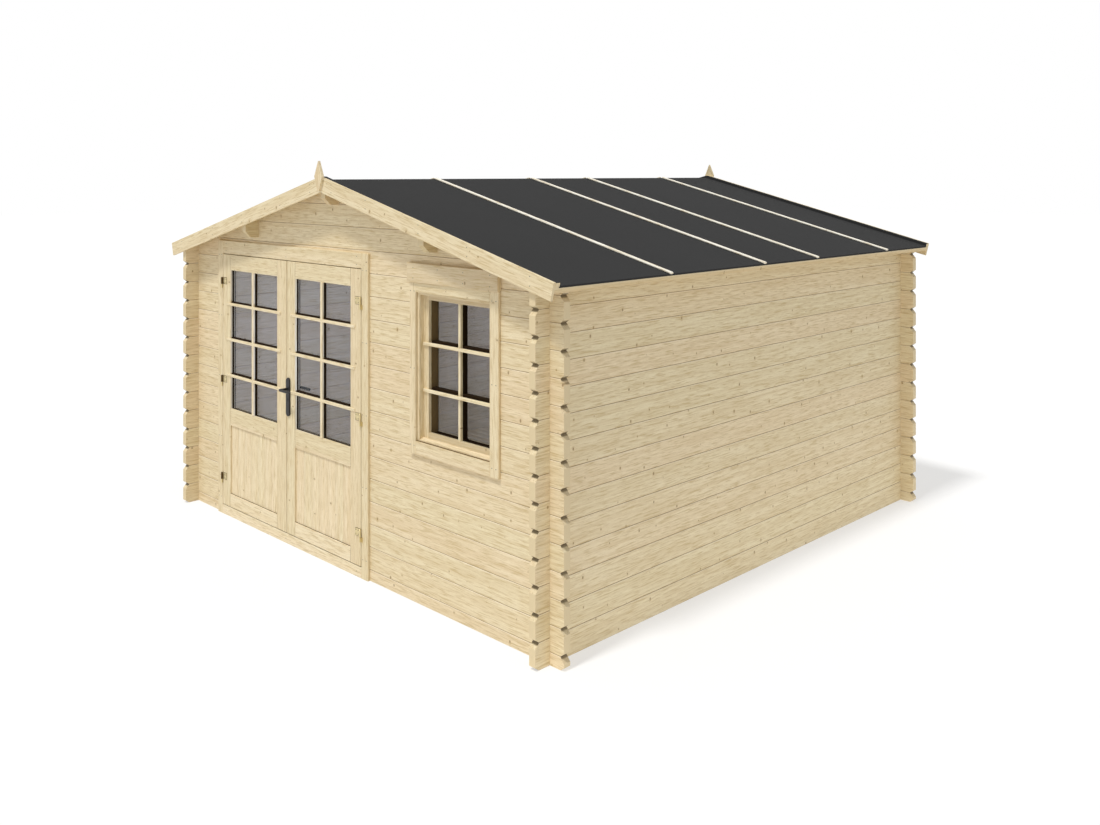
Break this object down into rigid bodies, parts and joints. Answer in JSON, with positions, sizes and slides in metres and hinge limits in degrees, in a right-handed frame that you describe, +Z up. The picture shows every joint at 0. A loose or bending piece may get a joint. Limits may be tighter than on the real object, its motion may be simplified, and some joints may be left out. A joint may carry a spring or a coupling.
{
  "type": "garden house",
  "caption": "Wooden log garden house with glazed doors beside a window, under a low gable roof covered with felt.",
  "frame": {"origin": "middle of the plan, on the ground", "axes": "+X to the right as seen from the front, +Y to the back, +Z up; the door and the window face -Y"},
  "size_m": [4.1152, 4.072, 2.5479],
  "materials": {
    "log_pine": "planed, untreated",
    "sawn_pine": "planed, untreated",
    "planed_pine": "planed, untreated",
    "roof_felt": "matte, mineral faced",
    "pane_glass": "clear float glass",
    "zinc_steel": "yellow zinc plated",
    "black_metal": "satin black"
  },
  "bodies": {
    "house": {"front_wall_left": "log_pine", "front_wall_right": "log_pine", "front_gable": "log_pine", "back_wall": "log_pine", "back_gable": "log_pine", "left_wall": "log_pine", "right_wall": "log_pine", "ridge_purlin": "sawn_pine", "left_purlin": "sawn_pine", "right_purlin": "sawn_pine", "roof_boards_left": "sawn_pine", "roof_boards_right": "sawn_pine", "roof_felt": "roof_felt", "felt_battens": "sawn_pine", "gable_edge_strips": "sawn_pine", "eaves_slats": "sawn_pine", "front_bargeboard_left": "sawn_pine", "front_bargeboard_right": "sawn_pine", "back_bargeboard_left": "sawn_pine", "back_bargeboard_right": "sawn_pine", "front_finial": "sawn_pine", "back_finial": "sawn_pine", "door_frame": "planed_pine", "door_side_trims": "planed_pine", "door_head_board": "planed_pine", "door_threshold": "planed_pine", "door_hinge_pins": "zinc_steel", "window_frame": "planed_pine", "window_sash": "planed_pine", "window_glass": "pane_glass", "window_side_trims": "planed_pine", "window_end_trims": "planed_pine", "window_head_board": "planed_pine", "floor_boards": "planed_pine", "floor_joists": "planed_pine"},
    "left_door": {"left_door_leaf": "planed_pine", "left_door_panel": "planed_pine", "left_door_glass": "pane_glass", "left_door_hinges": "zinc_steel"},
    "right_door": {"right_door_leaf": "planed_pine", "right_door_panel": "planed_pine", "right_door_glass": "pane_glass", "right_door_hinges": "zinc_steel", "handle_plates": "black_metal"},
    "door_handle": {"handle_levers": "black_metal"}
  },
  "joints": [
    {"name": "left_door_hinge", "type": "hinge", "parent": "house", "child": "left_door", "pos_m": [-1.444, -1.925, 0.957], "axis": [0, 0, -1], "range_deg": [0, 120]},
    {"name": "right_door_hinge", "type": "hinge", "parent": "house", "child": "right_door", "pos_m": [0.29, -1.925, 0.957], "axis": [0, 0, 1], "range_deg": [0, 120]},
    {"name": "handle_turn", "type": "hinge", "parent": "right_door", "child": "door_handle", "pos_m": [-0.5405, -1.897, 1.037], "axis": [0, 1, 0], "range_deg": [0, 40], "stiffness_Nm_per_rad": 1.6, "springref_deg": -34.38}
  ]
}
